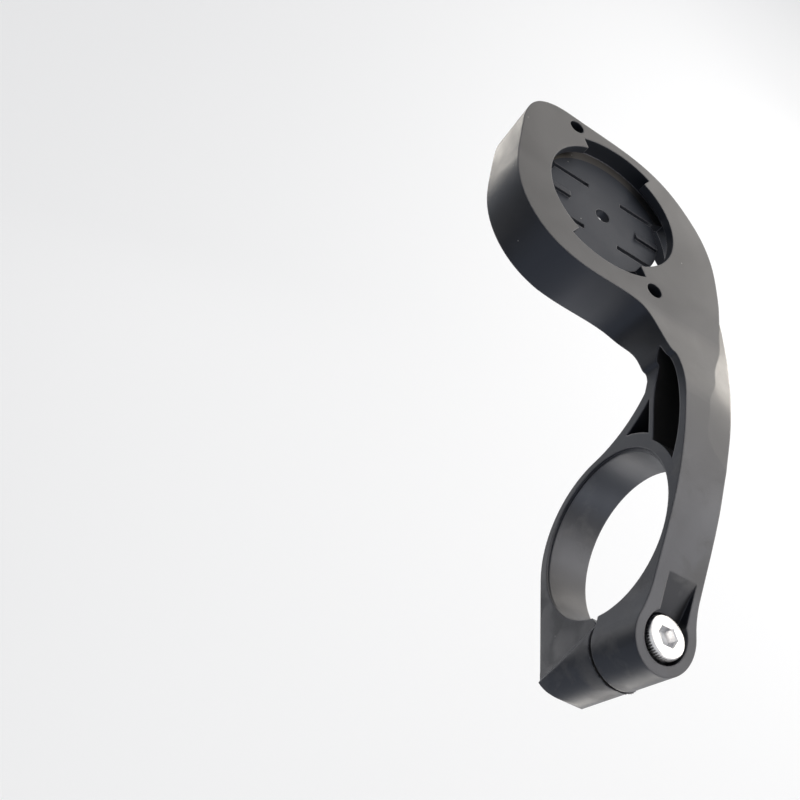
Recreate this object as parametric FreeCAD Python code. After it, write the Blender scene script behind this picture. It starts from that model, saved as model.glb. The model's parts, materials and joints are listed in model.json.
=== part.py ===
import FreeCAD, Part
import math
import os

Vector = FreeCAD.Vector

# Out-front handlebar mount for a bike computer, in millimetres.
# The origin is on the bar's axis, midway across the clamp.
# X points forward, away from the rider, Y along the bar to the left, Z up.

# Clamp ring round the bar
bar_radius = 15.9
ring_wall = 2.0
clamp_width = 9.1
bore_chamfer = 0.2
rim_step = 0.25
rim_step_shift = 0.35
rim_step_depth = 0.5
ring_face_margin = 0.5
split_gap = 0.6
split_chamfer = 1.2

# Cap screw, its nut and the boss that holds them behind the bar
screw_radius = 2.0
screw_length = 20.0
screw_head_radius = 3.5
screw_head_height = 4.0
screw_key_width = 3.0
screw_key_depth = 2.0
screw_head_bevel = 0.3
screw_tip_bevel = 0.4
screw_hole_clearance = 0.25
screw_head_clearance = 0.55
screw_wall = 2.95
screw_seat_depth = 8.2
boss_radius = 5.7
boss_blend_radius = 16.0
boss_end_drop = 6.25
boss_heel_radius = 5.0
boss_heel_step = 3.3
flank_lean = 21.6
flank_bevel = 30.0
nut_width = 7.0
nut_height = 3.2
nut_tip_length = 0.05
nut_thread_clearance = 0.05
nut_pocket_clearance = 0.1

# Relief that lets a key lie in towards the screw
relief_length = 9.2
relief_width = 5.4
relief_shift = 0.5
relief_depth = 3.6

# Arm between the ring and the head
arch_crest_lead = 4.1
arch_crest_rise = 4.75
arch_foot_lead = 4.3
arch_level_share = 0.448
arch_turn_share = 0.555
arch_turn_fall = 0.49
arm_belly_drop = 5.05
belly_rear_lead = 2.4
gusset_top_lead = 6.1
gusset_top_drop = 5.75
gusset_front_radius = 24.0
hip_run = 17.0
neck_end_lead = 4.0

# Cored pockets in the arm's near side
pocket_depth = 6.5
pocket_skin = 1.6
pocket_ring_wall = 2.4
pocket_rail = 1.1
pocket_floor_drop = 3.35
pocket_roof_shares = (0.456, 0.274, 0.0)
pocket_roof_rear = 6.6
pocket_corner_share = 0.38
pocket_tip_share = 0.556
pocket_tip_lift = 0.9
gusset_wall = 2.3
gusset_ring_wall = 3.5

# Head plate and where its socket stands from the bar
head_reach = 65.7
head_side = 18.9
head_drop = 2.35
head_thickness = 11.0
underside_wall = 2.0
screw_post_radius = 3.4

# Quarter-turn socket in the head
lip_radius = 15.7
lip_thickness = 1.8
groove_radius = 18.4
socket_depth = 3.6
floor_thickness = 1.9
entry_half_angle = 29.0
centre_hole_radius = 1.75
tongue_half_width = 6.4
tongue_slot = 1.2
tongue_slot_start = 4.2
tongue_length = 14.5
window_inner_radius = 14.3
window_outer_radius = 17.0
window_start_angle = 140.0
window_end_angle = 159.0
catch_height = 0.7
catch_width = 2.5
catch_step_x = -1.0
catch_start = 8.5
catch_end = 14.2

# Two holes in the head beside the socket
plate_hole_circle = 43.1
plate_hole_radius = 1.75
plate_hole_angle = 31.0

# Sizes that follow from those above
ring_radius = bar_radius + ring_wall
half_width = clamp_width / 2
head_rise = ring_radius - head_drop
crest_rise = head_rise + arch_crest_rise
head_bottom = head_rise - head_thickness
floor_top = head_rise - socket_depth
floor_bottom = floor_top - floor_thickness
screw_x = -(bar_radius + screw_wall + screw_radius + screw_hole_clearance)
screw_seat_rise = head_rise - screw_seat_depth
screw_tip_rise = screw_seat_rise - screw_length
counterbore_radius = screw_head_radius + screw_head_clearance
nut_bottom = screw_tip_rise + nut_tip_length
nut_top = nut_bottom + nut_height
boss_rear_x = screw_x - boss_radius
boss_end_rise = head_rise - boss_end_drop
boss_bottom = boss_heel_step - ring_radius
groove_rear_x = head_reach - groove_radius
arch_crest_x = bar_radius + arch_crest_lead
arm_belly_rise = head_rise - arm_belly_drop
gusset_top_x = arch_crest_x + gusset_top_lead
gusset_top_rise = head_rise - gusset_top_drop
pocket_floor_rise = head_rise - pocket_floor_drop
hip_end_x = arch_crest_x - hip_run
neck_end_x = arch_crest_x + neck_end_lead
tall = 3 * (crest_rise + ring_radius)

# Head outline round the socket: direction in degrees from straight ahead, anticlockwise seen
# from above, and how far the edge stands outside the socket's groove. It starts at the corner
# where the arm's hip runs into it.
head_outline = [
    (-121.0, 14.05), (-113.0, 11.85), (-104.5, 10.0), (-90.0, 8.0), (-74.0, 6.2), (-58.0, 4.6),
    (-40.0, 3.6), (-20.0, 2.75), (0.0, 2.55), (15.0, 3.5), (27.0, 5.5), (38.0, 8.5),
    (48.0, 9.9), (58.0, 9.1), (70.0, 7.0), (86.0, 5.4), (104.0, 5.5), (126.0, 6.2),
    (148.0, 6.3), (168.0, 5.5), (182.0, 5.2), (193.0, 6.0),
]

# Near side of the neck: how far behind the socket's groove, and what share of the way out from
# the arm's side to the socket's centre.
neck_outline = [(6.4, 0.394), (8.7, 0.261), (12.4, 0.171), (16.7, 0.087)]

# Outer side of the hip: share of the way from the hip's end on the arm to the groove's rear
# edge, and how far outside the arm's side.
hip_outline = [(0.23, 0.8), (0.38, 1.65), (0.52, 2.95), (0.63, 4.6), (0.74, 6.0), (0.83, 6.5), (0.91, 6.1)]

# Crease between the arm's top and the facet that falls away over the hip: the same two measures
# and the facet's fall in degrees.
hip_crease = [
    (0.0, 2.5, 3.0), (0.16, -2.4, 3.0), (0.3, -4.0, 4.0), (0.45, -2.9, 8.0), (0.59, -0.6, 11.0),
    (0.78, 2.8, 14.0), (0.9, 4.1, 15.0), (1.04, 4.5, 16.0), (1.15, 5.1, 16.0),
]


def point(x, z, y=0.0):
    return Vector(x, y, z)


def line(start, end):
    return Part.makeLine(start, end)


def spline(points, start_tangent=None, end_tangent=None):
    curve = Part.BSplineCurve()
    if start_tangent is None:
        curve.interpolate(points)
    else:
        curve.interpolate(Points=points, InitialTangent=start_tangent, FinalTangent=end_tangent)
    return curve.toShape()


def bezier(points):
    curve = Part.BezierCurve()
    curve.setPoles(points)
    return curve.toShape()


def arc(start, middle, end):
    return Part.Arc(start, middle, end).toShape()


def turned(centre, radius, turn):
    # Point at a distance and an angle round a centre in the plane of X and Z.
    return point(centre.x + radius * math.cos(turn), centre.z + radius * math.sin(turn))


def arc_round(centre, radius, start, end):
    # Arc in the plane of X and Z between two angles.
    return arc(
        turned(centre, radius, start),
        turned(centre, radius, (start + end) / 2),
        turned(centre, radius, end),
    )


def face_of(edges):
    return Part.Face(Part.Wire(Part.__sortEdges__(edges)))


def upright_cylinder(x, y, radius, bottom, top):
    return Part.makeCylinder(radius, top - bottom, Vector(x, y, bottom))


def cross_cylinder(x, z, radius, near, far):
    return Part.makeCylinder(radius, far - near, Vector(x, near, z), Vector(0, 1, 0))


def block(low, high):
    size = high - low
    return Part.makeBox(size.x, size.y, size.z, low)


def hex_prism(x, y, width, bottom, top):
    corner = width / math.sqrt(3)
    corners = []
    for step in range(7):
        turn = math.radians(60 * step)
        corners.append(Vector(x + corner * math.cos(turn), y + corner * math.sin(turn), bottom))
    face = Part.Face(Part.makePolygon(corners))
    return face.extrude(Vector(0, 0, top - bottom))


def sector(inner, outer, start, end, bottom, top):
    # Part of a flat ring about the socket's centre, between two directions in degrees.
    def rim(radius, degrees):
        turn = math.radians(degrees)
        return Vector(head_reach + radius * math.cos(turn), head_side + radius * math.sin(turn), bottom)

    middle = (start + end) / 2
    edges = [arc(rim(outer, start), rim(outer, middle), rim(outer, end))]
    if inner > 0:
        edges.append(arc(rim(inner, start), rim(inner, middle), rim(inner, end)))
    edges.append(line(rim(inner, start), rim(outer, start)))
    edges.append(line(rim(inner, end), rim(outer, end)))
    return face_of(edges).extrude(Vector(0, 0, top - bottom))


# The arch: level on the head, up to the crest, then down over the bar to the boss
arch_foot = point(groove_rear_x - arch_foot_lead, head_rise)
arch_crest = point(arch_crest_x, crest_rise)
arch_end = point(boss_rear_x, boss_end_rise)
front_third = (arch_foot.x - arch_crest.x) / 3
arch_front = [
    arch_foot,
    point(arch_foot.x - front_third, head_rise),
    point(arch_crest.x + front_third, crest_rise),
    arch_crest,
]
rear_span = arch_crest.x - arch_end.x
rear_fall = arch_crest.z - arch_end.z
arch_rear = [
    arch_crest,
    point(arch_crest.x - arch_level_share * rear_span, crest_rise),
    point(arch_crest.x - arch_turn_share * rear_span, crest_rise - arch_turn_fall * rear_fall),
    arch_end,
]


# The gusset's front is an arc that is tangent to the ring
bar_axis = point(0, 0)
gusset_top = point(gusset_top_x, gusset_top_rise)
gusset_reach = ring_radius + gusset_front_radius
gusset_lean = math.acos(
    (gusset_top.Length**2 + gusset_reach**2 - gusset_front_radius**2) / (2 * gusset_top.Length * gusset_reach)
)
gusset_turn = math.atan2(gusset_top.z, gusset_top.x) - gusset_lean
gusset_centre = turned(bar_axis, gusset_reach, gusset_turn)


def side_profile():
    # Silhouette of the whole moulding seen along the bar, as a face in the plane of X and Z.
    heel_centre = point(boss_rear_x + boss_heel_radius, boss_bottom + boss_heel_radius)
    heel_top = turned(heel_centre, boss_heel_radius, math.pi)
    heel_end = turned(heel_centre, boss_heel_radius, 1.5 * math.pi)

    # The keel runs from the heel to the ring, where it is tangent to it.
    keel_turn = math.atan2(heel_end.z, heel_end.x) + math.acos(ring_radius / heel_end.Length)
    keel_end = turned(bar_axis, ring_radius, keel_turn)
    gusset_foot = turned(bar_axis, ring_radius, gusset_turn)
    gusset_start = math.atan2(gusset_top.z - gusset_centre.z, gusset_top.x - gusset_centre.x)

    belly_front = point(arch_foot.x, head_bottom)
    belly_rear = point(gusset_top.x + belly_rear_lead, arm_belly_rise)
    span = belly_front.x - belly_rear.x
    rise = arm_belly_rise - head_bottom
    belly = [
        belly_front,
        point(belly_front.x - 0.4 * span, head_bottom + 0.2 * rise),
        point(belly_rear.x + 0.55 * span, arm_belly_rise - 0.02 * rise),
        belly_rear,
    ]
    nose_x = head_reach + 2 * groove_radius
    edges = [
        line(point(nose_x, head_rise), arch_foot),
        bezier(arch_front),
        bezier(arch_rear),
        line(arch_end, heel_top),
        arc_round(heel_centre, boss_heel_radius, math.pi, 1.5 * math.pi),
        line(heel_end, keel_end),
        arc_round(bar_axis, ring_radius, keel_turn, gusset_turn),
        arc_round(gusset_centre, gusset_front_radius, gusset_turn + math.pi, gusset_start),
        line(gusset_top, belly_rear),
        bezier(list(reversed(belly))),
        line(belly_front, point(nose_x, head_bottom)),
        line(point(nose_x, head_bottom), point(nose_x, head_rise)),
    ]
    return face_of(edges)


def rim_points(inset):
    # Points of the head's outline, moved in towards the socket by the inset.
    points = []
    for degrees, width in head_outline:
        turn = math.radians(degrees)
        radius = groove_radius + width - inset
        points.append(Vector(head_reach + radius * math.cos(turn), head_side + radius * math.sin(turn), 0))
    return points


def hip_point(share, outside, z=0.0):
    x = hip_end_x + share * (groove_rear_x - hip_end_x)
    return Vector(x, -half_width - outside, z)


def plan_outline():
    # Outline of the moulding seen from above, as a face at the origin's height.
    near = []
    for behind, share in neck_outline:
        near.append(Vector(groove_rear_x - behind, half_width + share * (head_side - half_width), 0))
    near.append(Vector(neck_end_x, half_width, 0))
    rim = rim_points(0)
    skirt = spline(rim + near, rim[1] - rim[0], Vector(-1, 0, 0))
    corner = rim[0]
    outer = [Vector(hip_end_x, -half_width, 0)]
    outer += [hip_point(share, outside) for share, outside in hip_outline]
    outer.append(corner)
    hip = spline(outer, Vector(1, 0, 0), Vector(1, 0.55, 0))

    # Each side of the arm sweeps out to the boss in an arc that is tangent to both.
    spread = math.sqrt((boss_radius + boss_blend_radius)**2 - (half_width + boss_blend_radius)**2)
    blend_x = screw_x + spread
    share = boss_radius / (boss_radius + boss_blend_radius)
    cheek = Vector(screw_x + spread * share, (half_width + boss_blend_radius) * share, 0)
    lean = math.atan2(spread, half_width + boss_blend_radius) / 2
    blend_middle = Vector(
        blend_x - boss_blend_radius * math.sin(lean),
        half_width + boss_blend_radius * (1 - math.cos(lean)),
        0,
    )

    def mirrored(spot):
        return Vector(spot.x, -spot.y, 0)

    near_blend = Vector(blend_x, half_width, 0)
    edges = [
        skirt,
        hip,
        line(Vector(neck_end_x, half_width, 0), near_blend),
        arc(near_blend, blend_middle, cheek),
        arc(cheek, Vector(boss_rear_x, 0, 0), mirrored(cheek)),
        arc(mirrored(cheek), mirrored(blend_middle), mirrored(near_blend)),
        line(mirrored(near_blend), Vector(hip_end_x, -half_width, 0)),
    ]
    return face_of(edges)


def top_rise(x):
    # Height of the top surface above the bar's axis, at a distance ahead of it.
    if x >= arch_foot.x:
        return head_rise
    poles = arch_front if x > arch_crest.x else arch_rear
    curve = Part.BezierCurve()
    curve.setPoles(poles)
    low, high = curve.FirstParameter, curve.LastParameter
    for step in range(50):
        middle = (low + high) / 2
        if curve.value(middle).x > x:
            low = middle
        else:
            high = middle
    return curve.value((low + high) / 2).z


def hip_facet():
    # What the falling facet over the hip takes away, as a skin through sections across the arm.
    reach_in = 2.0
    reach_out = 16.0
    sections = []
    for share, outside, fall in hip_crease:
        crease = hip_point(share, outside)
        crease.z = top_rise(crease.x)
        slope = math.tan(math.radians(fall))
        inner = crease + Vector(0, reach_in, reach_in * slope)
        outer = crease + Vector(0, -reach_out, -reach_out * slope)
        lid = Vector(0, 0, crest_rise)
        sections.append(Part.makePolygon([inner, outer, outer + lid, inner + lid, inner]))
    return Part.makeLoft(sections, True, False)


def blank():
    # The moulding's outer form, before its bore, pockets and socket.
    side = side_profile()
    side.translate(Vector(0, -tall, 0))
    along_bar = side.extrude(Vector(0, 2 * tall, 0))
    plan = plan_outline()
    plan.translate(Vector(0, 0, -tall))
    upright = plan.extrude(Vector(0, 0, 2 * tall))
    return along_bar.common(upright).cut(hip_facet())


def ring_face():
    # The hip is trimmed flush with the ring's outer face round the ring's front half.
    disc = cross_cylinder(0, 0, ring_radius + ring_face_margin, -half_width - bar_radius, -half_width)
    return disc.common(block(Vector(0, -tall, -tall), Vector(tall, 0, tall)))


def bore():
    shape = cross_cylinder(0, 0, bar_radius, -half_width - 1, half_width + 1)
    for side in (-1, 1):
        face_y = side * half_width
        inner_y = face_y - side * bore_chamfer
        cone = Part.makeCone(
            bar_radius, bar_radius + 2 * bore_chamfer, 2 * bore_chamfer,
            Vector(0, inner_y, 0), Vector(0, side, 0),
        )
        shape = shape.fuse(cone)
    return shape


def bore_rim():
    # Shallow step round the front of the bore on its near side, set forward of the bore's centre.
    return cross_cylinder(
        rim_step_shift, 0, bar_radius + rim_step, half_width - rim_step_depth, half_width + 1,
    )


def split():
    slit = block(
        Vector(boss_rear_x - 1, -boss_radius - 1, -split_gap / 2),
        Vector(-bar_radius / 2, boss_radius + 1, split_gap / 2),
    )
    lip_x = -bar_radius
    lead = Part.Face(Part.makePolygon([
        point(lip_x + split_chamfer, -split_gap / 2 + 0.1, -boss_radius - 1),
        point(lip_x - split_chamfer, -split_gap / 2 + 0.1, -boss_radius - 1),
        point(lip_x + split_chamfer, -split_gap / 2 - 2 * split_chamfer, -boss_radius - 1),
        point(lip_x + split_chamfer, -split_gap / 2 + 0.1, -boss_radius - 1),
    ])).extrude(Vector(0, 2 * boss_radius + 2, 0))
    return slit.fuse(lead)


def screw_recess():
    hole = upright_cylinder(screw_x, 0, screw_radius + screw_hole_clearance, -tall, tall)
    head = upright_cylinder(screw_x, 0, counterbore_radius, screw_seat_rise, tall)
    nut = hex_prism(screw_x, 0, nut_width + 2 * nut_pocket_clearance, -tall, nut_top)
    return hole.fuse([head, nut])


def lower_flank(side):
    # Below the split the ring's flat face runs on over the boss to a crease that leans back.
    meet_x = screw_x + math.sqrt(boss_radius**2 - half_width**2)
    stand = 4.0
    ahead = 12.0
    bevel = stand / math.tan(math.radians(flank_bevel))
    top = -split_gap / 2
    low_y = side * half_width
    high_y = side * (half_width + stand)
    section = Part.Face(Part.makePolygon([
        Vector(meet_x, low_y, top),
        Vector(meet_x + ahead, low_y, top),
        Vector(meet_x + ahead, high_y, top),
        Vector(meet_x - bevel, high_y, top),
        Vector(meet_x, low_y, top),
    ]))
    fall = ring_radius + 1
    return section.extrude(Vector(-fall * math.tan(math.radians(flank_lean)), 0, -fall))


def key_relief():
    # A ramp that starts level with the arm and deepens towards the screw head.
    start_x = screw_x + relief_length
    start_z = top_rise(start_x)
    end_z = top_rise(screw_x) - relief_depth
    middle_y = -relief_shift
    ramp = Part.Face(Part.makePolygon([
        point(start_x, start_z, middle_y - relief_width / 2),
        point(screw_x, end_z, middle_y - relief_width / 2),
        point(screw_x, tall, middle_y - relief_width / 2),
        point(start_x, tall, middle_y - relief_width / 2),
        point(start_x, start_z, middle_y - relief_width / 2),
    ]))
    return ramp.extrude(Vector(0, relief_width, 0))


def near_side_cut(face, depth):
    # Cuts into the arm from its near side; the neck's curved wall is cleared as well.
    clear = 2 * half_width
    face.translate(Vector(0, half_width - depth, 0))
    return face.extrude(Vector(0, depth + clear, 0))


def arch_pocket():
    # Crescent under the arch's skin, closed at the rear by the ring and below by a thin rail.
    ring_line = bar_radius + pocket_ring_wall
    front = arch_foot.x - arch_crest_x
    roof_run = [arch_crest_x + share * front for share in pocket_roof_shares]
    roof_run.append(arch_crest_x - pocket_roof_rear)
    roof = [point(x, top_rise(x) - pocket_skin) for x in roof_run]
    corner_x = pocket_corner_share * ring_line
    corner = point(corner_x, math.sqrt(ring_line**2 - corner_x**2))
    roof.append(corner)
    heel = point(math.sqrt(ring_line**2 - pocket_floor_rise**2), pocket_floor_rise)
    turn = (math.atan2(corner.z, corner.x) + math.atan2(heel.z, heel.x)) / 2
    middle = turned(bar_axis, ring_line, turn)
    tip_x = arch_crest_x + pocket_tip_share * front
    tip = point(tip_x, (top_rise(tip_x) + pocket_floor_rise) / 2 + pocket_tip_lift)
    floor = [
        heel,
        point(arch_crest_x + 1, pocket_floor_rise),
        point(arch_crest_x + 0.3 * front, pocket_floor_rise + 0.6),
        tip,
    ]
    edges = [
        spline([tip] + roof),
        arc(corner, middle, heel),
        spline(floor),
    ]
    return near_side_cut(face_of(edges), pocket_depth)


def gusset_pocket():
    # Triangle between the ring, the rail and the gusset's front wall, which it follows.
    ring_line = bar_radius + gusset_ring_wall
    wall_radius = gusset_front_radius + gusset_wall
    roof_z = pocket_floor_rise - pocket_rail
    rear = point(math.sqrt(ring_line**2 - roof_z**2), roof_z)
    drop = roof_z - gusset_centre.z
    front = point(gusset_centre.x - math.sqrt(wall_radius**2 - drop**2), roof_z)

    # The low corner is where the ring's line meets the front wall's arc.
    along = (ring_line**2 - wall_radius**2 + gusset_reach**2) / (2 * gusset_reach)
    turn = gusset_turn + math.acos(along / ring_line)
    low = turned(bar_axis, ring_line, turn)
    ring_middle = turned(bar_axis, ring_line, (turn + math.atan2(rear.z, rear.x)) / 2)
    low_turn = math.atan2(low.z - gusset_centre.z, low.x - gusset_centre.x)
    front_turn = math.atan2(front.z - gusset_centre.z, front.x - gusset_centre.x)
    edges = [
        arc_round(gusset_centre, wall_radius, front_turn, low_turn),
        arc(low, ring_middle, rear),
        line(rear, front),
    ]
    return near_side_cut(face_of(edges), pocket_depth)


def socket_recess():
    mouth = upright_cylinder(head_reach, head_side, lip_radius, head_rise - lip_thickness - 0.1, tall)
    groove = upright_cylinder(head_reach, head_side, groove_radius, floor_top, head_rise - lip_thickness)
    recess = mouth.fuse(groove)
    for heading in (0, 180):
        entry = sector(
            0, groove_radius, heading - entry_half_angle, heading + entry_half_angle,
            head_rise - lip_thickness - 0.1, head_rise + 1,
        )
        recess = recess.fuse(entry)
    return recess


def floor_openings():
    bottom = floor_bottom - 1
    top = floor_top + 1
    openings = upright_cylinder(head_reach, head_side, centre_hole_radius, bottom, top)
    for side in (-1, 1):
        middle = 90 * side
        reach = math.sqrt(tongue_length**2 - tongue_half_width**2)
        spread = math.degrees(math.atan2(tongue_half_width + tongue_slot, reach))
        gap = sector(tongue_length, groove_radius, middle - spread, middle + spread, bottom, top)
        openings = openings.fuse(gap)
        for edge in (-1, 1):
            inner = edge * tongue_half_width
            outer = edge * (tongue_half_width + tongue_slot)
            start = side * tongue_slot_start
            end = side * (reach + 0.5)
            low = Vector(head_reach + min(inner, outer), head_side + min(start, end), bottom)
            high = Vector(head_reach + max(inner, outer), head_side + max(start, end), top)
            openings = openings.fuse(block(low, high))
        window = sector(
            window_inner_radius, window_outer_radius,
            side * window_start_angle, side * window_end_angle, bottom, top,
        )
        openings = openings.fuse(window)
    return openings


def catches():
    # A wedge on each tongue: steep on one side, a ramp on the other.
    wedges = []
    for side in (-1, 1):
        start = head_side + side * catch_start
        end = head_side + side * catch_end
        step_x = head_reach + catch_step_x
        section = Part.Face(Part.makePolygon([
            Vector(step_x, start, floor_top - 0.2),
            Vector(step_x, start, floor_top + catch_height),
            Vector(step_x + catch_width, start, floor_top),
            Vector(step_x + catch_width, start, floor_top - 0.2),
            Vector(step_x, start, floor_top - 0.2),
        ]))
        wedges.append(section.extrude(Vector(0, end - start, 0)))
    return wedges


def plate_hole_places():
    places = []
    for heading in (plate_hole_angle, plate_hole_angle + 180):
        turn = math.radians(heading)
        radius = plate_hole_circle / 2
        places.append(Vector(head_reach + radius * math.cos(turn), head_side + radius * math.sin(turn), 0))
    return places


def underside():
    # The head is cored from below, with a wall left round its edge and posts at the two holes.
    curve = Part.BSplineCurve()
    curve.interpolate(Points=rim_points(underside_wall), PeriodicFlag=True)
    outline = Part.Face(Part.Wire(curve.toShape()))
    outline.translate(Vector(0, 0, head_bottom - 1))
    core = outline.extrude(Vector(0, 0, floor_bottom - head_bottom + 1))
    front = block(
        Vector(arch_foot.x + underside_wall, -tall, head_bottom - 1),
        Vector(head_reach + tall, tall, floor_bottom),
    )
    core = core.common(front)
    for place in plate_hole_places():
        core = core.cut(upright_cylinder(place.x, place.y, screw_post_radius, head_bottom - 2, tall))
    return core


def mount_body():
    shape = blank()
    shape = shape.cut(underside())
    cuts = [ring_face(), bore(), bore_rim(), split(), lower_flank(-1), lower_flank(1)]
    cuts += [screw_recess(), key_relief(), arch_pocket(), gusset_pocket(), socket_recess(), floor_openings()]
    for place in plate_hole_places():
        cuts.append(upright_cylinder(place.x, place.y, plate_hole_radius, -tall, tall))
    for cut in cuts:
        shape = shape.cut(cut)
    for wedge in catches():
        shape = shape.fuse(wedge)
    return shape.removeSplitter()


def clamp_bolt():
    # Socket-head cap screw, standing in the counterbore with its shank down to the nut.
    head_top = screw_seat_rise + screw_head_height
    head = upright_cylinder(screw_x, 0, screw_head_radius, screw_seat_rise, head_top)
    rim = [edge for edge in head.Edges if edge.BoundBox.ZMin > head_top - 0.01]
    head = head.makeChamfer(screw_head_bevel, rim)
    shank = upright_cylinder(screw_x, 0, screw_radius, screw_tip_rise, screw_seat_rise)
    tip = [edge for edge in shank.Edges if edge.BoundBox.ZMax < screw_tip_rise + 0.01]
    shank = shank.makeChamfer(screw_tip_bevel, tip)
    key = hex_prism(screw_x, 0, screw_key_width, head_top - screw_key_depth, head_top + 1)
    return head.fuse(shank).cut(key).removeSplitter()


def clamp_nut():
    # Hexagon nut, held from turning by its pocket under the boss.
    nut = hex_prism(screw_x, 0, nut_width, nut_bottom, nut_top)
    thread = upright_cylinder(screw_x, 0, screw_radius + nut_thread_clearance, nut_bottom - 1, nut_top + 1)
    return nut.cut(thread)


pieces = {
    "mount_body": mount_body(),
    "clamp_bolt": clamp_bolt(),
    "clamp_nut": clamp_nut(),
}

os.makedirs("parts", exist_ok=True)
for name, shape in pieces.items():
    solids = shape.Solids
    print(name, "solids", len(solids), "valid", shape.isValid(), "volume", round(shape.Volume, 1))
    if len(solids) == 1:
        shape = solids[0]
    shape.exportStep("parts/" + name + ".step")
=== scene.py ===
import json
import math
import random

import bpy
from mathutils import Euler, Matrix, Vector


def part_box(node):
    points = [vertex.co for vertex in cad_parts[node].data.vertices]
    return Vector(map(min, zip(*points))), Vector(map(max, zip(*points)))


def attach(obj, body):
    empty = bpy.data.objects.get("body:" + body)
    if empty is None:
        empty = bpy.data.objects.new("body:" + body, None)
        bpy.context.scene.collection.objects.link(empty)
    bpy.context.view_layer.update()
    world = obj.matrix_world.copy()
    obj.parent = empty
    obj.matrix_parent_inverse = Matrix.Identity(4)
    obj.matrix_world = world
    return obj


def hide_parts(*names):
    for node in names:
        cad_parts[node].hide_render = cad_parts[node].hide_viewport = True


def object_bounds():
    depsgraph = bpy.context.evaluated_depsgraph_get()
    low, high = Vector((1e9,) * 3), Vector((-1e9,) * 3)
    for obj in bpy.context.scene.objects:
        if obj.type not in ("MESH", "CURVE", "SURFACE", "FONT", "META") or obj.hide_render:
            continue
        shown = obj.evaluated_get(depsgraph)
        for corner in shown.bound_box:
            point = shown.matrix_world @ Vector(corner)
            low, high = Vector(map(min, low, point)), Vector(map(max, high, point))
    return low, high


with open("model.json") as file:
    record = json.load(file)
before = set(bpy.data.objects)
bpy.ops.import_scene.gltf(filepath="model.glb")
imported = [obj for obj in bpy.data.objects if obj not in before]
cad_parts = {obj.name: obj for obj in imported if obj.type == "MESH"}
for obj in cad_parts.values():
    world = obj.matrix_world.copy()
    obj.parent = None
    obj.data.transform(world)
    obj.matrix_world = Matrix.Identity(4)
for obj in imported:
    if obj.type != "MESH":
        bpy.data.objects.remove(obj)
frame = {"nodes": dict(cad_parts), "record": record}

cad_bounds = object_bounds()

bl_info = {
    "name": "Bike Computer Mount",
    "version": (1, 0, 0),
    "blender": (4, 5, 0),
    "location": "3D View > Sidebar > Bike Mount",
    "description": "Dresses the packed handlebar mount: moulded body, cap screw, nut and studio",
    "category": "Object",
}

MM = 0.001
PHOTO_SIZE = 800  # pixels
SENSOR_WIDTH = 36.0  # millimetres
SOCKET = next(mount for mount in frame["record"]["mounts"] if mount["name"] == "computer_socket")
SOCKET_CENTRE = SOCKET["pos_m"]
SOCKET_RADIUS = SOCKET["dims"]["r_mm"] * MM


def linear(hex_colour):
    """An sRGB colour such as #2a2a2d as linear red, green and blue."""
    channels = []
    for start in (1, 3, 5):
        value = int(hex_colour[start:start + 2], 16) / 255
        channels.append(value / 12.92 if value <= 0.04045 else ((value + 0.055) / 1.055) ** 2.4)
    return channels


def add_node(owner, kind, settings=None, links=None):
    """Adds one node, sets its sockets and properties, and links other nodes' outputs into it."""
    node = owner.node_tree.nodes.new(kind)
    for name, value in (settings or {}).items():
        if isinstance(name, int) or name in node.inputs:
            node.inputs[name].default_value = value
        else:
            setattr(node, name, value)
    for name, output in (links or {}).items():
        owner.node_tree.links.new(output, node.inputs[name])
    return node


def new_material(name):
    """An empty node material with its output."""
    material = bpy.data.materials.new(name)
    material.use_nodes = True
    material.node_tree.nodes.clear()
    return material, add_node(material, "ShaderNodeOutputMaterial")


def colour(socket_value):
    """A colour property as the four numbers that a shader's socket takes."""
    return (*socket_value[:3], 1.0)


def seen_rays(owner):
    """1 for rays that show a backdrop to the eye: camera, glossy and transmission rays."""
    sight = add_node(owner, "ShaderNodeLightPath")
    straight = add_node(
        owner,
        "ShaderNodeMath",
        {"operation": "MAXIMUM"},
        {0: sight.outputs["Is Camera Ray"], 1: sight.outputs["Is Glossy Ray"]},
    )
    every = add_node(
        owner,
        "ShaderNodeMath",
        {"operation": "MAXIMUM"},
        {0: straight.outputs["Value"], 1: sight.outputs["Is Transmission Ray"]},
    )
    return every.outputs["Value"]


# Materials


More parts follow.
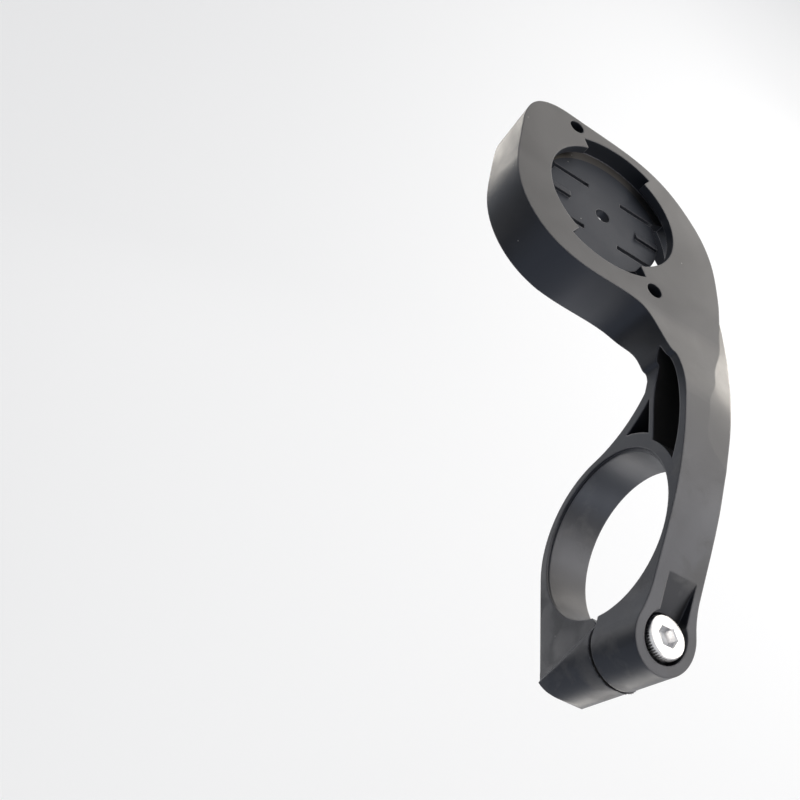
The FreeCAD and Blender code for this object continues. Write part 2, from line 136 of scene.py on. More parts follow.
def moulded_nylon(settings):
    """Black glass-filled nylon 6, injection moulded in a spark-eroded tool.

    The tool's fine grain scatters the light to a soft satin sheen, glass fibre at the skin clouds
    it in patches, and handling leaves fine pale specks and rubbed smears.
    """
    material, output = new_material("glass_filled_nylon_moulded")
    place = add_node(material, "ShaderNodeTexCoord").outputs["Object"]
    facing = add_node(material, "ShaderNodeNewGeometry").outputs["Normal"]

    # The skin: near black, with greyer clouds.
    cloud = add_node(
        material,
        "ShaderNodeTexNoise",
        {"Scale": 1 / settings.cloud_size, "Detail": 4.0, "Roughness": 0.55, "Distortion": 0.6},
        {"Vector": place},
    )
    clouded = add_node(
        material,
        "ShaderNodeMapRange",
        {"From Min": 0.38, "From Max": 0.72},
        {"Value": cloud.outputs["Fac"]},
    )
    tone = add_node(
        material,
        "ShaderNodeMix",
        {"data_type": "RGBA", "A": colour(settings.shade), "B": colour(settings.bloom)},
        {"Factor": clouded.outputs["Result"]},
    )

    # A pale film on faces that look up, partly dust and partly painted sheen that makes the top
    # faces lighter. It is left out of the sunken socket as painted shade.
    flat_place = add_node(
        material,
        "ShaderNodeVectorMath",
        {"operation": "MULTIPLY", 1: (1.0, 1.0, 0.0)},
        {0: place},
    )
    from_socket = add_node(
        material,
        "ShaderNodeVectorMath",
        {"operation": "DISTANCE", 1: (*SOCKET_CENTRE[:2], 0.0)},
        {0: flat_place.outputs["Vector"]},
    )
    outside_socket = add_node(
        material,
        "ShaderNodeMapRange",
        {"From Min": SOCKET_RADIUS, "From Max": SOCKET_RADIUS + 0.1 * MM},
        {"Value": from_socket.outputs["Value"]},
    )
    rise = add_node(material, "ShaderNodeSeparateXYZ", links={"Vector": facing})
    facing_up = add_node(
        material,
        "ShaderNodeMapRange",
        {"From Min": 0.6, "From Max": 0.97, "To Max": settings.dust_and_sheen_cover},
        {"Value": rise.outputs["Z"]},
    )
    # Painted shade: the socket gets none of the pale film, so its floor stays darker.
    dust_and_sheen_share = add_node(
        material,
        "ShaderNodeMath",
        {"operation": "MULTIPLY"},
        {0: facing_up.outputs["Result"], 1: outside_socket.outputs["Result"]},
    )
    with_dust_and_sheen = add_node(
        material,
        "ShaderNodeMix",
        {"data_type": "RGBA", "B": colour(settings.dust_and_sheen)},
        {"Factor": dust_and_sheen_share.outputs["Value"], "A": tone.outputs["Result"]},
    )

    # Smears round the clamp, which fade out along the arm.
    smear = add_node(
        material,
        "ShaderNodeTexNoise",
        {"Scale": 1 / settings.smear_size, "Detail": 5.0, "Roughness": 0.5, "Distortion": 0.3},
        {"Vector": place},
    )
    rubbed = add_node(
        material,
        "ShaderNodeMapRange",
        {"From Min": 0.5, "From Max": 0.68},
        {"Value": smear.outputs["Fac"]},
    )
    along = add_node(material, "ShaderNodeSeparateXYZ", links={"Vector": place})
    near_clamp = add_node(
        material,
        "ShaderNodeMapRange",
        {"From Min": settings.smear_reach, "From Max": settings.smear_reach - settings.smear_fade},
        {"Value": along.outputs["X"]},
    )
    handled = add_node(
        material,
        "ShaderNodeMath",
        {"operation": "MULTIPLY"},
        {0: rubbed.outputs["Result"], 1: near_clamp.outputs["Result"]},
    )
    smeared = add_node(
        material,
        "ShaderNodeMix",
        {"data_type": "RGBA", "B": colour(settings.smear)},
        {"Factor": handled.outputs["Value"], "A": with_dust_and_sheen.outputs["Result"]},
    )

    # Pale specks: a small dot in about one cell of four.
    speck = add_node(
        material,
        "ShaderNodeTexVoronoi",
        {"Scale": 1 / settings.speck_spacing, "Randomness": 1.0},
        {"Vector": place},
    )
    dot = add_node(
        material,
        "ShaderNodeMapRange",
        {"From Min": 0.055, "From Max": 0.035},
        {"Value": speck.outputs["Distance"]},
    )
    lot = add_node(material, "ShaderNodeSeparateColor", links={"Color": speck.outputs["Color"]})
    chosen = add_node(
        material,
        "ShaderNodeMapRange",
        {"From Min": 0.72, "From Max": 0.78},
        {"Value": lot.outputs["Red"]},
    )
    specks = add_node(
        material,
        "ShaderNodeMath",
        {"operation": "MULTIPLY"},
        {0: dot.outputs["Result"], 1: chosen.outputs["Result"]},
    )
    dusted = add_node(
        material,
        "ShaderNodeMix",
        {"data_type": "RGBA", "B": colour(settings.dust)},
        {"Factor": specks.outputs["Value"], "A": smeared.outputs["Result"]},
    )

    # A painted highlight along the edges: they are painted paler where the rounded normal leaves
    # the face's own.
    edge = add_node(material, "ShaderNodeBevel", {"samples": 4, "Radius": settings.edge_radius})
    likeness = add_node(
        material,
        "ShaderNodeVectorMath",
        {"operation": "DOT_PRODUCT"},
        {0: edge.outputs["Normal"], 1: facing},
    )
    turned = add_node(
        material,
        "ShaderNodeMapRange",
        {"From Min": 0.98, "From Max": 0.86},
        {"Value": likeness.outputs["Value"]},
    )
    with_edge_highlight = add_node(
        material,
        "ShaderNodeMix",
        {"data_type": "RGBA", "B": colour(settings.painted_edge_highlight)},
        {"Factor": turned.outputs["Result"], "A": dusted.outputs["Result"]},
    )

    # Roughness: cloudy, duller where it is smeared and inside the worn socket.
    gloss = add_node(
        material,
        "ShaderNodeMapRange",
        {
            "From Min": 0.3,
            "From Max": 0.7,
            "To Min": settings.roughness - 0.05,
            "To Max": settings.roughness + 0.07,
        },
        {"Value": cloud.outputs["Fac"]},
    )
    smeared_gloss = add_node(
        material,
        "ShaderNodeMath",
        {"operation": "MULTIPLY_ADD", 1: settings.smear_dulling},
        {0: handled.outputs["Value"], 2: gloss.outputs["Result"]},
    )
    socket_gloss = add_node(
        material,
        "ShaderNodeMath",
        {"operation": "MULTIPLY_ADD", 1: -settings.socket_dulling},
        {0: outside_socket.outputs["Result"], 2: smeared_gloss.outputs["Value"]},
    )
    roughness = add_node(
        material,
        "ShaderNodeMath",
        {"operation": "ADD", 1: settings.socket_dulling},
        {0: socket_gloss.outputs["Value"]},
    )

    # The tool's real grain is too fine to show, so it is drawn as coarse as it needs to be.
    grain = add_node(
        material,
        "ShaderNodeTexNoise",
        {"Scale": 1 / settings.grain_size, "Detail": 3.0, "Roughness": 0.6},
        {"Vector": place},
    )
    bump = add_node(
        material,
        "ShaderNodeBump",
        {"Strength": 0.25, "Distance": 0.04 * MM},
        {"Height": grain.outputs["Fac"], "Normal": edge.outputs["Normal"]},
    )
    shader = add_node(
        material,
        "ShaderNodeBsdfPrincipled",
        {"IOR": 1.53, "Specular Tint": colour(settings.sheen_tint)},
        {
            "Base Color": with_edge_highlight.outputs["Result"],
            "Roughness": roughness.outputs["Value"],
            "Normal": bump.outputs["Normal"],
        },
    )
    material.node_tree.links.new(shader.outputs["BSDF"], output.inputs["Surface"])
    return material


def zinc_plate(settings, name):
    """Steel with bright zinc plating, barrel plated: near white, with a fine cloudy mottle."""
    material, output = new_material(name)
    place = add_node(material, "ShaderNodeTexCoord").outputs["Object"]
    mottle = add_node(
        material,
        "ShaderNodeTexNoise",
        {"Scale": 1 / settings.mottle_size, "Detail": 4.0, "Roughness": 0.6},
        {"Vector": place},
    )
    gloss = add_node(
        material,
        "ShaderNodeMapRange",
        {
            "From Min": 0.3,
            "From Max": 0.7,
            "To Min": settings.plate_roughness - 0.03,
            "To Max": settings.plate_roughness + 0.05,
        },
        {"Value": mottle.outputs["Fac"]},
    )
    brightness = add_node(
        material,
        "ShaderNodeMapRange",
        {"From Min": 0.35, "From Max": 0.6},
        {"Value": mottle.outputs["Fac"]},
    )
    tone = add_node(
        material,
        "ShaderNodeMix",
        {"data_type": "RGBA", "A": colour(settings.plate_dull), "B": colour(settings.plate)},
        {"Factor": brightness.outputs["Result"]},
    )
    bump = add_node(
        material,
        "ShaderNodeBump",
        {"Strength": 0.08, "Distance": 0.01 * MM},
        {"Height": mottle.outputs["Fac"]},
    )
    shader = add_node(
        material,
        "ShaderNodeBsdfPrincipled",
        {"Metallic": 1.0},
        {
            "Base Color": tone.outputs["Result"],
            "Roughness": gloss.outputs["Result"],
            "Normal": bump.outputs["Normal"],
        },
    )
    material.node_tree.links.new(shader.outputs["BSDF"], output.inputs["Surface"])
    return material


def black_felt(settings):
    """Pressed wool felt, dyed black: it has no gloss and gives hardly any light back."""
    material, output = new_material("black_felt_pressed")
    shader = add_node(
        material,
        "ShaderNodeBsdfPrincipled",
        {"Base Color": colour(settings.felt), "Roughness": 1.0},
    )
    material.node_tree.links.new(shader.outputs["BSDF"], output.inputs["Surface"])
    return material


def matt_paper(settings):
    """Matt white paper: no gloss, and it shows the eye an even white behind the mount."""
    material, output = new_material("white_paper_matt")
    place = add_node(material, "ShaderNodeTexCoord").outputs["Object"]

    # Real fibres are too fine to show, so these are drawn as coarse as they need to be.
    fibre = add_node(
        material,
        "ShaderNodeTexNoise",
        {"Scale": 1 / settings.fibre_size, "Detail": 2.0},
        {"Vector": place},
    )
    bump = add_node(
        material,
        "ShaderNodeBump",
        {"Strength": 0.05, "Distance": 0.05 * MM},
        {"Height": fibre.outputs["Fac"]},
    )
    shader = add_node(
        material,
        "ShaderNodeBsdfPrincipled",
        {"Base Color": colour(settings.paper), "Roughness": 0.95},
        {"Normal": bump.outputs["Normal"]},
    )
    white = add_node(material, "ShaderNodeEmission", {"Strength": 1.0})
    share = add_node(
        material,
        "ShaderNodeMath",
        {"operation": "MULTIPLY", 1: settings.backdrop},
        {0: seen_rays(material)},
    )
    mixed = add_node(
        material,
        "ShaderNodeMixShader",
        links={
            "Fac": share.outputs["Value"],
            1: shader.outputs["BSDF"],
            2: white.outputs["Emission"],
        },
    )
    material.node_tree.links.new(mixed.outputs["Shader"], output.inputs["Surface"])
    return material


# Meshes made of stacked rings


def ring(count, radius_at, height_at, centre):
    """Points round an upright axis, with radius and height as functions of the angle."""
    points = []
    for step in range(count):
        turn = 2 * math.pi * step / count
        radius = radius_at(turn)
        points.append(
            Vector((
                centre.x + radius * math.cos(turn),
                centre.y + radius * math.sin(turn),
                height_at(turn),
            ))
        )
    return points


def level_ring(count, radius, height, centre):
    """A round ring at one height."""
    return ring(count, lambda turn: radius, lambda turn: height, centre)


def hexagon_radius(across_flats):
    """Radius of a hexagon as a function of the angle."""
    sixth = math.pi / 3

    def radius(turn):
        return across_flats / 2 / math.cos((turn + sixth / 2) % sixth - sixth / 2)

    return radius


def thread_depth_at(height, turn, pitch):
    """Share of a thread's depth at a height and an angle: 0 at the crest and 1 at the root."""
    phase = (height / pitch - turn / (2 * math.pi)) % 1.0
    return abs(2 * phase - 1)


def stack(rings, close_start, close_end):
    """Joins rings of points, from the first to the last, into faces.

    A ring has as many points as the one before, or a whole number of times as many, and is then
    fanned to it. A closing point, where one is given, caps its end.
    """
    points = []
    faces = []
    starts = []
    for loop in rings:
        starts.append(len(points))
        points += loop
    for index in range(len(rings) - 1):
        near, far = starts[index], starts[index + 1]
        near_count, far_count = len(rings[index]), len(rings[index + 1])
        if near_count == far_count:
            for step in range(near_count):
                after = (step + 1) % near_count
                faces.append((near + step, near + after, far + after, far + step))
        else:
            share = far_count // near_count
            for step in range(near_count):
                for part in range(share):
                    first = step * share + part
                    faces.append((far + (first + 1) % far_count, far + first, near + step))
                corner = ((step + 1) * share) % far_count
                faces.append((near + step, near + (step + 1) % near_count, far + corner))
    if close_start is not None:
        tip = len(points)
        points.append(close_start)
        count = len(rings[0])
        for step in range(count):
            faces.append((tip, starts[0] + (step + 1) % count, starts[0] + step))
    if close_end is not None:
        tip = len(points)
        points.append(close_end)
        count = len(rings[-1])
        for step in range(count):
            faces.append((tip, starts[-1] + step, starts[-1] + (step + 1) % count))
    return points, faces


def join_last_ring(points, faces, count):
    """Ties a stack's last ring to its first, where both are the same points."""
    last = len(points) - count
    tied = [tuple(index - last if index >= last else index for index in face) for face in faces]
    return points[:last], tied


def make_piece(name, points, faces, material, body, smooth_degrees):
    """A named mesh that rides on a body of the frame."""
    mesh = bpy.data.meshes.new(name)
    mesh.from_pydata([tuple(point) for point in points], [], faces)
    mesh.update()
    piece = bpy.data.objects.new(name, mesh)
    bpy.context.scene.collection.objects.link(piece)
    smooth(piece, smooth_degrees)
    mesh.materials.append(material)
    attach(piece, body)
    return piece


def smooth(piece, degrees):
    """Smooth shading that keeps edges sharper than an angle."""
    mesh = piece.data
    mesh.polygons.foreach_set("use_smooth", [True] * len(mesh.polygons))
    mesh.set_sharp_from_angle(angle=math.radians(degrees))
    mesh.update()


# Sizes and colours a user may change


class MountBodySettings(bpy.types.PropertyGroup):
    """Finish of the moulded body."""

    shade: bpy.props.FloatVectorProperty(
        name="Nylon", description="Colour of the black nylon", subtype="COLOR",
        default=linear("#13151a"), min=0.0, max=1.0,
    )
    bloom: bpy.props.FloatVectorProperty(
        name="Fibre bloom", description="Colour where glass fibre clouds the skin", subtype="COLOR",
        default=linear("#1c1e22"), min=0.0, max=1.0,
    )
    # Painted sheen and dust: the pale colour laid on faces that look up.
    dust_and_sheen: bpy.props.FloatVectorProperty(
        name="Dust film", description="Colour of the fine dust on faces that look up",
        subtype="COLOR", default=linear("#504d49"), min=0.0, max=1.0,
    )
    # How much of the painted sheen and dust covers faces that look up.
    dust_and_sheen_cover: bpy.props.FloatProperty(
        name="Film cover", description="Share of the skin that the dust film hides",
        subtype="FACTOR", default=0.6, min=0.0, max=1.0,
    )
    sheen_tint: bpy.props.FloatVectorProperty(
        name="Gloss tint", description="Cool tint of the skin's gloss", subtype="COLOR",
        default=linear("#d3def8"), min=0.0, max=1.0,
    )
    smear: bpy.props.FloatVectorProperty(
        name="Smears", description="Colour of the rubbed smears round the clamp", subtype="COLOR",
        default=linear("#565657"), min=0.0, max=1.0,
    )
    smear_size: bpy.props.FloatProperty(
        name="Smear size", description="Size of the rubbed smears", default=6 * MM, unit="LENGTH",
    )
    smear_reach: bpy.props.FloatProperty(
        name="Smear reach", description="How far along the arm the clamp's smears reach",
        default=16 * MM, unit="LENGTH",
    )
    smear_fade: bpy.props.FloatProperty(
        name="Smear fade", description="Length over which the smears fade out", default=8 * MM,
        unit="LENGTH",
    )
    smear_dulling: bpy.props.FloatProperty(
        name="Smear dulling", description="Roughness that a smear adds", subtype="FACTOR",
        default=0.2, min=0.0, max=0.4,
    )
    socket_dulling: bpy.props.FloatProperty(
        name="Socket dulling", description="Roughness that wear adds inside the socket",
        subtype="FACTOR", default=0.2, min=0.0, max=0.4,
    )
    # Painted highlight: the paler colour laid along the edges.
    painted_edge_highlight: bpy.props.FloatVectorProperty(
        name="Burnish", description="Colour of the nylon along its handled edges", subtype="COLOR",
        default=linear("#626266"), min=0.0, max=1.0,
    )
    dust: bpy.props.FloatVectorProperty(
        name="Dust", description="Colour of the fine specks", subtype="COLOR",
        default=linear("#8c8c8c"), min=0.0, max=1.0,
    )
    roughness: bpy.props.FloatProperty(
        name="Roughness", description="Roughness of the satin skin", subtype="FACTOR",
        default=0.42, min=0.1, max=0.9,
    )
    grain_size: bpy.props.FloatProperty(
        name="Grain", description="Spacing of the tool's grain, drawn coarse so that it shows",
        default=0.3 * MM, unit="LENGTH",
    )
    cloud_size: bpy.props.FloatProperty(
        name="Cloud", description="Size of the fibre clouds", default=14 * MM, unit="LENGTH",
    )
    speck_spacing: bpy.props.FloatProperty(
        name="Speck spacing", description="Distance between specks", default=3.2 * MM,
        unit="LENGTH",
    )
    split_gap: bpy.props.FloatProperty(
        name="Split", description="Width of the clamp's split", default=0.6 * MM, unit="LENGTH",
    )
    edge_radius: bpy.props.FloatProperty(
        name="Edge radius", description="Rounding of the moulding's small edges", default=0.4 * MM,
        unit="LENGTH",
    )


class ScrewSettings(bpy.types.PropertyGroup):
    """Sizes and finish of the cap screw and its nut."""

    thread_pitch: bpy.props.FloatProperty(
        name="Thread pitch", description="Rise of the thread in one turn", default=0.7 * MM,
        unit="LENGTH",
    )
    thread_depth: bpy.props.FloatProperty(
        name="Thread depth", description="Depth of the thread", default=0.4 * MM, unit="LENGTH",
    )
    knurl_count: bpy.props.IntProperty(
        name="Knurls", description="Flutes round the screw's head", default=48, min=12, max=96,
    )
    knurl_depth: bpy.props.FloatProperty(
        name="Knurl depth", description="Depth of the flutes", default=0.1 * MM, unit="LENGTH",
    )
    key_width: bpy.props.FloatProperty(
        name="Key width", description="Width across flats of the key socket", default=3.0 * MM,
        unit="LENGTH",
    )
    key_depth: bpy.props.FloatProperty(
        name="Key depth", description="Depth of the key socket's flats", default=2.0 * MM,
        unit="LENGTH",
    )
    key_chamfer: bpy.props.FloatProperty(
        name="Key chamfer", description="Chamfer round the mouth of the key socket",
        default=0.22 * MM, unit="LENGTH",
    )
    plate: bpy.props.FloatVectorProperty(
        name="Zinc", description="Colour of the bright plating", subtype="COLOR",
        default=linear("#ececee"), min=0.0, max=1.0,
    )
    plate_dull: bpy.props.FloatVectorProperty(
        name="Dull zinc", description="Colour of the plating's mottle", subtype="COLOR",
        default=linear("#d6d7da"), min=0.0, max=1.0,
    )
    plate_roughness: bpy.props.FloatProperty(
        name="Zinc roughness", description="Roughness of the plating", subtype="FACTOR",
        default=0.3, min=0.0, max=1.0,
    )
    mottle_size: bpy.props.FloatProperty(
        name="Mottle", description="Size of the plating's mottle", default=0.5 * MM, unit="LENGTH",
    )


class StudioSettings(bpy.types.PropertyGroup):
    """Camera, floor and lamps."""

    camera_place: bpy.props.FloatVectorProperty(
        name="Camera place", description="Where the photograph was taken from",
        subtype="TRANSLATION", unit="LENGTH", default=(-82.2 * MM, 82.35 * MM, 102.08 * MM),
    )
    camera_turn: bpy.props.FloatVectorProperty(
        name="Camera turn", description="How the camera is turned", subtype="EULER",
        default=(math.radians(33.528), math.radians(-28.238), math.radians(-76.440)),
    )
    focal_pixels: bpy.props.FloatProperty(
        name="Focal length", description="Focal length in pixels of the photograph",
        subtype="PIXEL", default=840.67,
    )
    floor_gap: bpy.props.FloatProperty(
        name="Floor gap", description="Distance from the mount down to the floor", default=400 * MM,
        unit="LENGTH",
    )
    felt: bpy.props.FloatVectorProperty(
        name="Felt", description="Colour of the black card", subtype="COLOR",
        default=linear("#101012"), min=0.0, max=1.0,
    )
    paper: bpy.props.FloatVectorProperty(
        name="Paper", description="Colour of the floor", subtype="COLOR",
        default=linear("#e5ebf7"), min=0.0, max=1.0,
    )
    fibre_size: bpy.props.FloatProperty(
        name="Fibre", description="Spacing of the paper's fibres, drawn coarse so that it shows",
        default=2.5 * MM, unit="LENGTH",
    )
    sky: bpy.props.FloatVectorProperty(
        name="Sky", description="Tint of the light from all round", subtype="COLOR",
        default=linear("#e8eefa"), min=0.0, max=1.0,
    )
    world_light: bpy.props.FloatProperty(
        name="World light", description="Strength of the light from all round", default=0.15,
    )
    backdrop: bpy.props.FloatProperty(
        name="Backdrop", description="Share of even white that the floor shows behind the mount",
        subtype="FACTOR", default=0.62, min=0.0, max=1.0,
    )
    world_backdrop: bpy.props.FloatProperty(
        name="World backdrop", description="Brightness that the world shows, where 1 is white",
        default=0.75, min=0.0, max=1.0,
    )
    panel_glow: bpy.props.FloatProperty(
        name="Panel", description="Brightness of the overhead panel, where 1 is white",
        default=1.85,
    )
    high_glow: bpy.props.FloatProperty(
        name="High softbox", description="Brightness of the softbox over the clamp", default=3.85,
    )
    fill_glow: bpy.props.FloatProperty(
        name="Fill", description="Brightness of the fill softbox beside the clamp", default=3.0,
    )
    strip_glow: bpy.props.FloatProperty(
        name="Strip", description="Brightness of the strip box that grazes the hip", default=16.5,
    )
    low_glow: bpy.props.FloatProperty(
        name="Low softbox", description="Brightness of the softbox below the clamp's end",
        default=3.0,
    )
    side_glow: bpy.props.FloatProperty(
        name="Side softbox", description="Brightness of the softbox below the ring's face",
        default=2.0,
    )
    corner_glow: bpy.props.FloatProperty(
        name="Corner softbox",
        description="Brightness of the softbox that streaks the head's corner", default=5.0,
    )
    lamp_tint: bpy.props.FloatVectorProperty(
        name="Lamp tint", description="Colour of the lamps", subtype="COLOR",
        default=linear("#fff7e9"), min=0.0, max=1.0,
    )


# Pieces


class MOUNT_OT_body(bpy.types.Operator):
    """Gives the moulded body its nylon finish"""

    bl_idname = "bike_mount.body"
    bl_label = "Moulded body"

    def execute(self, context):
        settings = context.scene.mount_body_settings
        body = frame["nodes"]["mount_body"]
        body.data.materials.clear()
        body.data.materials.append(moulded_nylon(settings))
        return {"FINISHED"}


class MOUNT_OT_flash(bpy.types.Operator):
    """Makes the ragged flash that the mould left along the clamp's split"""

    bl_idname = "bike_mount.flash"
    bl_label = "Split flash"

    def execute(self, context):
        settings = context.scene.mount_body_settings
        low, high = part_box("clamp_bolt")
        centre = (low + high) / 2
        reach = centre.x - cad_bounds[0][0]
        lip = -settings.split_gap / 2
        chance = random.Random(5)
        points = []
        faces = []
        height = 0.0
        steps = 150
        corners = 4
        for step in range(steps + 1):
            turn = math.radians(95 + 170 * step / steps)
            # One step in five stands as a tall shred. Each follows the one before only partly.
            tallest = settings.split_gap * (0.9 if chance.random() < 0.2 else 0.3)
            height += (chance.uniform(0.05, 1.0) * tallest - height) * 0.7
            # The flash stays inside the CAD's box.
            room = reach / max(abs(math.cos(turn)), 0.5) - reach
            proud = min(chance.uniform(0.02, 0.3) * MM, 0.9 * room)
            section = (
                (reach - 0.2 * MM, lip - 0.05 * MM),
                (reach - 0.01 * MM, lip - chance.uniform(0.02, 0.12) * MM),
                (reach + proud, lip + 0.7 * height),
                (reach - 0.1 * MM, lip + height),
            )
            for radius, level in section:
                points.append(Vector((
                    centre.x + radius * math.cos(turn),
                    centre.y + radius * math.sin(turn),
                    level,
                )))
        for step in range(steps):
            near, far = corners * step, corners * (step + 1)
            for side in range(corners):
                after = (side + 1) % corners
                faces.append((near + side, near + after, far + after, far + side))
        faces.append(tuple(reversed(range(corners))))
        faces.append(tuple(corners * steps + side for side in range(corners)))
        nylon = frame["nodes"]["mount_body"].data.materials[0]
        make_piece("split_flash", points, faces, nylon, "mount", 40)
        return {"FINISHED"}


class MOUNT_OT_screw(bpy.types.Operator):
    """Makes the cap screw with its knurled head, key socket and thread"""

    bl_idname = "bike_mount.screw"
    bl_label = "Cap screw"

    def execute(self, context):
        settings = context.scene.mount_screw_settings
        low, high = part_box("clamp_bolt")
        centre = (low + high) / 2
        # An M4 screw: a shank of 4 mm, and a head 7 mm across and as high as the shank is thick.
        head_radius = (high.x - low.x) / 2
        shank_radius = head_radius * 4 / 7
        seat = high.z - 2 * shank_radius
        chamfer = 0.35 * MM
        collar = 0.15 * MM
        run_in = 0.2 * MM
        rim = 0.6 * MM
        flute_root = head_radius - settings.knurl_depth
        key_floor = high.z - settings.key_depth
        coarse = settings.knurl_count
        fine = 6 * coarse
        thread_start = low.z + chamfer
        thread_end = seat - 0.3 * MM
        rings_in_a_turn = 8
        steps = int(rings_in_a_turn * (seat - low.z) / settings.thread_pitch)

        def flute(turn):
            wave = 0.5 - 0.5 * math.cos(turn * settings.knurl_count)
            return head_radius - settings.knurl_depth * wave

        def thread(share):
            height = thread_start + share * (thread_end - thread_start)
            # The thread runs out over a twelfth of its length at each end.
            fade = min(1.0, share * 12, (1 - share) * 12)
            depth = settings.thread_depth * fade

            def radius(turn):
                return shank_radius - depth * thread_depth_at(height, turn, settings.thread_pitch)

            return ring(coarse, radius, lambda turn: height, centre)

        mouth = hexagon_radius(settings.key_width + 2 * settings.key_chamfer)
        key = hexagon_radius(settings.key_width)
        rings = [level_ring(coarse, shank_radius - 0.4 * MM, low.z, centre)]
        rings += [thread(step / steps) for step in range(steps + 1)]
        rings += [
            level_ring(coarse, shank_radius, seat, centre),
            level_ring(fine, flute_root, seat, centre),
            level_ring(fine, flute_root - 0.02 * MM, seat + collar, centre),
            ring(fine, flute, lambda turn: seat + collar + run_in, centre),
            ring(fine, flute, lambda turn: high.z - rim - run_in / 2, centre),
            level_ring(fine, head_radius - settings.knurl_depth * 0.6, high.z - rim, centre),
            level_ring(fine, flute_root, high.z - chamfer, centre),
            level_ring(fine, flute_root - chamfer * 0.4, high.z - chamfer * 0.3, centre),
            level_ring(fine, flute_root - chamfer, high.z, centre),
            ring(fine, mouth, lambda turn: high.z, centre),
            ring(fine, key, lambda turn: high.z - settings.key_chamfer, centre),
            ring(fine, key, lambda turn: key_floor, centre),
            level_ring(fine, settings.key_width / 2 * 0.98, key_floor - 0.05 * MM, centre),
        ]
        tip = Vector((centre.x, centre.y, low.z))
        pit = Vector((centre.x, centre.y, key_floor - 0.7 * MM))
        points, faces = stack(rings, tip, pit)
        finish = zinc_plate(settings, "steel_screw_bright_zinc")
        piece = make_piece("cap_screw", points, faces, finish, "screw", 30)
        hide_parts("clamp_bolt")
        return {"FINISHED"}


class MOUNT_OT_nut(bpy.types.Operator):
    """Makes the hexagon nut with its chamfered corners and threaded hole"""

    bl_idname = "bike_mount.nut"
    bl_label = "Hexagon nut"

    def execute(self, context):
        settings = context.scene.mount_screw_settings
        low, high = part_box("clamp_nut")
        centre = (low + high) / 2
        across = high.y - low.y
        flats = hexagon_radius(across)
        crown = across / 2 * 0.95
        slope = math.tan(math.radians(30))
        hole = 2.05 * MM
        thread_depth = 0.25 * MM
        mouth = hole + 0.35 * MM
        countersink_share = 0.08
        count = 96
        steps = 36

        def chamfer_height(end, direction):
            def height(turn):
                return end + direction * max(0.0, (flats(turn) - crown) * slope)

            return height

        def thread(share):
            # The thread lies between two countersinks, each a share of the nut's height.
            down = countersink_share + (1 - 2 * countersink_share) * share
            height = high.z + (low.z - high.z) * down

            def radius(turn):
                return hole + thread_depth * thread_depth_at(height, turn, settings.thread_pitch)

            return ring(count, radius, lambda turn: height, centre)

        rings = [
            level_ring(count, mouth, low.z, centre),
            level_ring(count, crown, low.z, centre),
            ring(count, flats, chamfer_height(low.z, 1), centre),
            ring(count, flats, chamfer_height(high.z, -1), centre),
            level_ring(count, crown, high.z, centre),
            level_ring(count, mouth, high.z, centre),
        ]
        rings += [thread(step / steps) for step in range(steps + 1)]
        rings.append(rings[0])
        points, faces = stack(rings, None, None)
        points, faces = join_last_ring(points, faces, count)
        finish = zinc_plate(settings, "steel_nut_zinc")
        piece = make_piece("hexagon_nut", points, faces, finish, "mount", 25)
        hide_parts("clamp_nut")
        return {"FINISHED"}


def sheet(name, size, level, material):
    """A flat rectangle at a level, centred on its origin."""
    x, y = size[0] / 2, size[1] / 2
    corners = [(-x, -y, level), (x, -y, level), (x, y, level), (-x, y, level)]
    mesh = bpy.data.meshes.new(name)
    mesh.from_pydata(corners, [], [(0, 1, 2, 3)])
    mesh.materials.append(material)
    rectangle = bpy.data.objects.new(name, mesh)
    bpy.context.scene.collection.objects.link(rectangle)
    return rectangle


def aimed(aim):
    """The turn of a lamp or card that faces along a direction."""
    return aim.to_track_quat("-Z", "Y").to_euler()


def softbox(name, place, aim, size, glow, tint):
    """A rectangular lamp whose face is as bright as its glow, where 1 is white."""
    lamp = bpy.data.lights.new(name, "AREA")
    lamp.shape = "RECTANGLE"
    lamp.size, lamp.size_y = size
    lamp.energy = glow * math.pi * size[0] * size[1]
    lamp.color = tint
    box = bpy.data.objects.new(name, lamp)
    box.location = place
    box.rotation_euler = aimed(aim)
    box.visible_camera = False
    bpy.context.scene.collection.objects.link(box)


def studio_world(settings):
    """Soft light from all round, and a paler backdrop for the rays that show it to the eye."""
    world = bpy.data.worlds.new("studio_light")
    world.use_nodes = True
    sky = world.node_tree.nodes["Background"]
    sky.inputs["Color"].default_value = colour(settings.sky)
    sky.inputs["Strength"].default_value = settings.world_light
    backdrop = add_node(
        world,
        "ShaderNodeBackground",
        {"Color": (1.0, 1.0, 1.0, 1.0), "Strength": settings.world_backdrop},
    )
    mixed = add_node(
        world,
        "ShaderNodeMixShader",
        links={
            "Fac": seen_rays(world),
            1: sky.outputs["Background"],
            2: backdrop.outputs["Background"],
        },
    )
    world_output = world.node_tree.nodes["World Output"]
    world.node_tree.links.new(mixed.outputs["Shader"], world_output.inputs["Surface"])
    return world


def photograph_camera(settings):
    """The camera that took the photograph."""
    lens = bpy.data.cameras.new("photograph_camera")
    lens.sensor_width = SENSOR_WIDTH
    lens.lens = settings.focal_pixels / PHOTO_SIZE * SENSOR_WIDTH
    lens.clip_start = 5 * MM
    camera = bpy.data.objects.new("photograph_camera", lens)
    camera.location = settings.camera_place
    camera.rotation_euler = Euler(settings.camera_turn)
    bpy.context.scene.collection.objects.link(camera)
    return camera


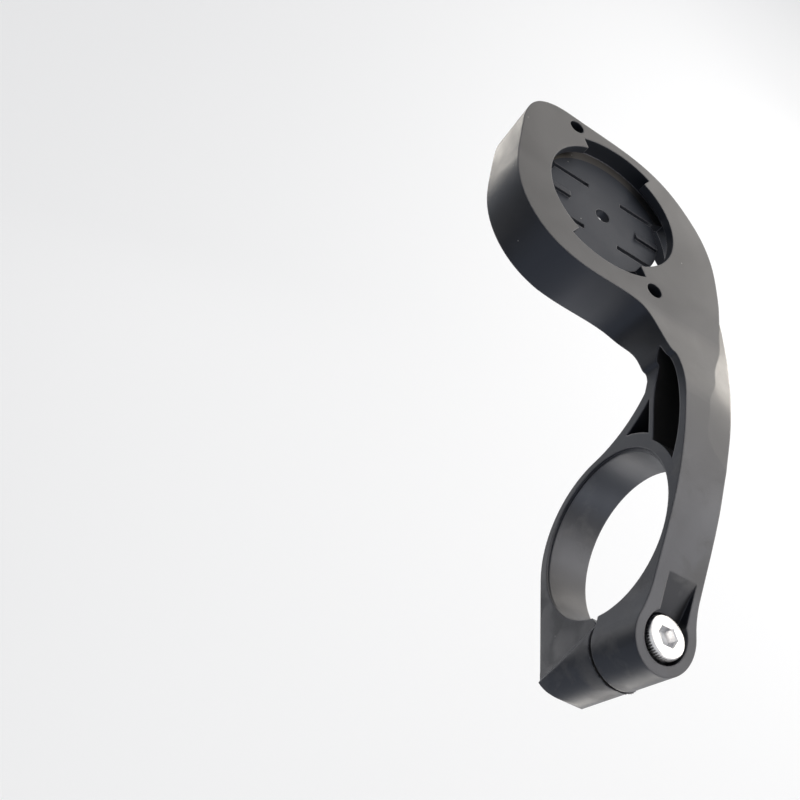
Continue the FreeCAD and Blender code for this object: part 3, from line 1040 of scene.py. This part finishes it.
class MOUNT_OT_studio(bpy.types.Operator):
    """Makes the paper floor, the lamps and the camera"""

    bl_idname = "bike_mount.studio"
    bl_label = "Studio"

    # Each lamp aimed at the mount's middle: name, place from it, size and brightness setting.
    lamps = (
        ("high_softbox", (0.0, -0.34, 0.5), (0.45, 0.45), "high_glow"),
        ("fill_softbox", (-0.48, -0.27, 0.12), (0.3, 0.3), "fill_glow"),
        ("strip_box", (1.03, -1.09, -0.12), (0.35, 0.25), "strip_glow"),
        ("low_softbox", (-0.19, -0.17, -0.22), (0.18, 0.18), "low_glow"),
        ("side_softbox", (0.075, 0.16, -0.22), (0.12, 0.12), "side_glow"),
        ("corner_softbox", (0.45, 0.15, -0.22), (0.12, 0.12), "corner_glow"),
    )

    def execute(self, context):
        settings = context.scene.mount_studio_settings
        scene = context.scene
        floor_width = 16.0
        floor_level = cad_bounds[0][2] - settings.floor_gap
        floor = sheet("paper_floor", (floor_width, floor_width), floor_level, matt_paper(settings))

        scene.world = studio_world(settings)
        middle = (Vector(cad_bounds[0]) + Vector(cad_bounds[1])) / 2
        above = middle + Vector((0.9, -0.95, 0.28))
        down = Vector((0.0, 0.0, -1.0))
        softbox("overhead_panel", above, down, (1.6, 1.7), settings.panel_glow, settings.lamp_tint)
        for name, place, size, glow in self.lamps:
            offset = Vector(place)
            brightness = getattr(settings, glow)
            softbox(name, middle + offset, -offset, size, brightness, settings.lamp_tint)

        # A black card that only reflections see. It darkens the end wall of the head.
        beyond = Vector((-0.02, 0.25, -0.17))
        card = sheet("end_flag", (0.26, 0.2), 0.0, black_felt(settings))
        card.location = Vector(SOCKET_CENTRE) + beyond
        card.rotation_euler = aimed(-beyond)
        card.visible_camera = False
        card.visible_diffuse = False
        card.visible_shadow = False

        scene.camera = photograph_camera(settings)
        scene.view_settings.view_transform = "Standard"
        return {"FINISHED"}


class MOUNT_PT_panel(bpy.types.Panel):
    """Lists the mount's operators in the sidebar"""

    bl_label = "Bike Mount"
    bl_idname = "MOUNT_PT_panel"
    bl_space_type = "VIEW_3D"
    bl_region_type = "UI"
    bl_category = "Bike Mount"

    def draw(self, context):
        for operator in OPERATORS:
            self.layout.operator(operator.bl_idname)


OPERATORS = (MOUNT_OT_body, MOUNT_OT_flash, MOUNT_OT_screw, MOUNT_OT_nut, MOUNT_OT_studio)
SETTINGS = {
    "mount_body_settings": MountBodySettings,
    "mount_screw_settings": ScrewSettings,
    "mount_studio_settings": StudioSettings,
}


def register():
    """Registers the settings, the operators and the panel."""
    for name, group in SETTINGS.items():
        bpy.utils.register_class(group)
        setattr(bpy.types.Scene, name, bpy.props.PointerProperty(type=group))
    for operator in OPERATORS:
        bpy.utils.register_class(operator)
    bpy.utils.register_class(MOUNT_PT_panel)


def unregister():
    """Takes away all that register added."""
    bpy.utils.unregister_class(MOUNT_PT_panel)
    for operator in reversed(OPERATORS):
        bpy.utils.unregister_class(operator)
    for name, group in SETTINGS.items():
        delattr(bpy.types.Scene, name)
        bpy.utils.unregister_class(group)


def main():
    """Makes every piece and the studio."""
    register()
    bpy.ops.bike_mount.body()
    bpy.ops.bike_mount.flash()
    bpy.ops.bike_mount.screw()
    bpy.ops.bike_mount.nut()
    bpy.ops.bike_mount.studio()


if __name__ == "__main__":
    main()
